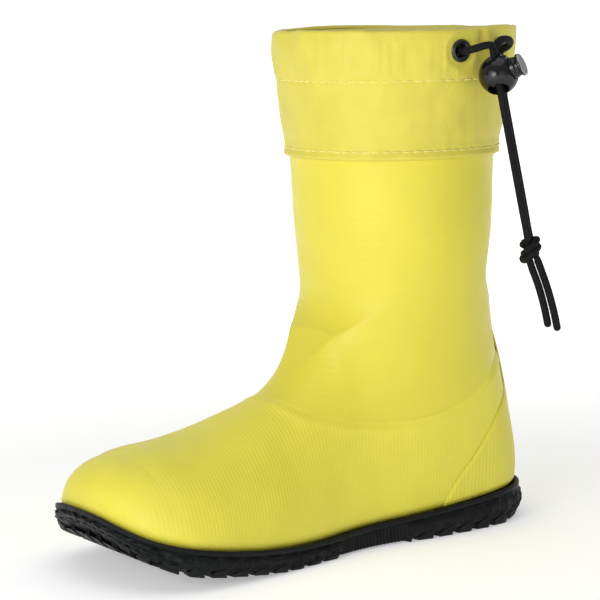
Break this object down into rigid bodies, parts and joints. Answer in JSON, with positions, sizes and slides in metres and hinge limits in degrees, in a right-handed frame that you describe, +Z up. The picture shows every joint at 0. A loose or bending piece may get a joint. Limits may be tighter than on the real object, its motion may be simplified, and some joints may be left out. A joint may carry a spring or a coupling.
{
  "type": "deck boot",
  "caption": "Mid-calf rubber deck boot with a soft collar, an elastic drawcord with a push-button cord lock, a cloth lining, a loose footbed and a lugged sole.",
  "frame": {"origin": "on the ground under the middle of the boot's length and width", "axes": "+X towards the toe, +Y towards the outer side of this left boot, +Z up"},
  "size_m": [0.2514, 0.1435, 0.2502],
  "materials": {
    "upper_rubber": "satin moulded yellow rubber",
    "collar_leather": "soft fine-grained coated leather, yellow",
    "facing_cloth": "matt woven tape, yellow",
    "lining_cloth": "matt knitted cloth, light grey",
    "sole_rubber": "matt black rubber",
    "board_fibre": "pressed fibre board",
    "footbed_foam": "cloth-faced foam, dark grey",
    "thread": "polyester thread, yellow",
    "eyelet_metal": "black lacquered brass",
    "cord_braid": "black braided elastic",
    "lock_plastic": "glossy black moulded plastic",
    "spring_steel": "drawn wire"
  },
  "bodies": {
    "boot": {"outsole": "sole_rubber", "insole_board": "board_fibre", "footbed": "footbed_foam", "upper_shell": "upper_rubber", "lining": "lining_cloth", "foot_overlay": "upper_rubber", "heel_overlay": "upper_rubber", "back_strip": "upper_rubber", "collar_outer": "collar_leather", "collar_facing": "facing_cloth", "tunnel_stitching": "thread", "hem_stitching": "thread", "eyelet_front": "eyelet_metal", "washer_front": "eyelet_metal", "eyelet_rear": "eyelet_metal", "washer_rear": "eyelet_metal", "drawcord_tunnel": "cord_braid"},
    "cord_tails": {"drawcord_front_strand": "cord_braid", "drawcord_rear_strand": "cord_braid", "drawcord_knot": "cord_braid", "drawcord_front_tail": "cord_braid", "drawcord_rear_tail": "cord_braid"},
    "lock": {"cord_lock_body": "lock_plastic", "cord_lock_spring": "spring_steel"},
    "plunger": {"cord_lock_plunger": "lock_plastic"}
  },
  "joints": [
    {"name": "cord_swing", "type": "hinge", "parent": "boot", "child": "cord_tails", "pos_m": [-0.07091, 0.05768, 0.23901], "axis": [0.9888, 0.149, 0.0024], "range_deg": [0, 45]},
    {"name": "cord_lock_slide", "type": "slide", "parent": "cord_tails", "child": "lock", "axis": [-0.145, 0.097, -0.9847], "range_m": [0, 0.068]},
    {"name": "plunger_press", "type": "slide", "parent": "lock", "child": "plunger", "axis": [0.5415, -0.7403, -0.3984], "range_m": [0, 0.0028], "stiffness_N_per_m": 600, "deforming": ["cord_lock_spring"]}
  ]
}
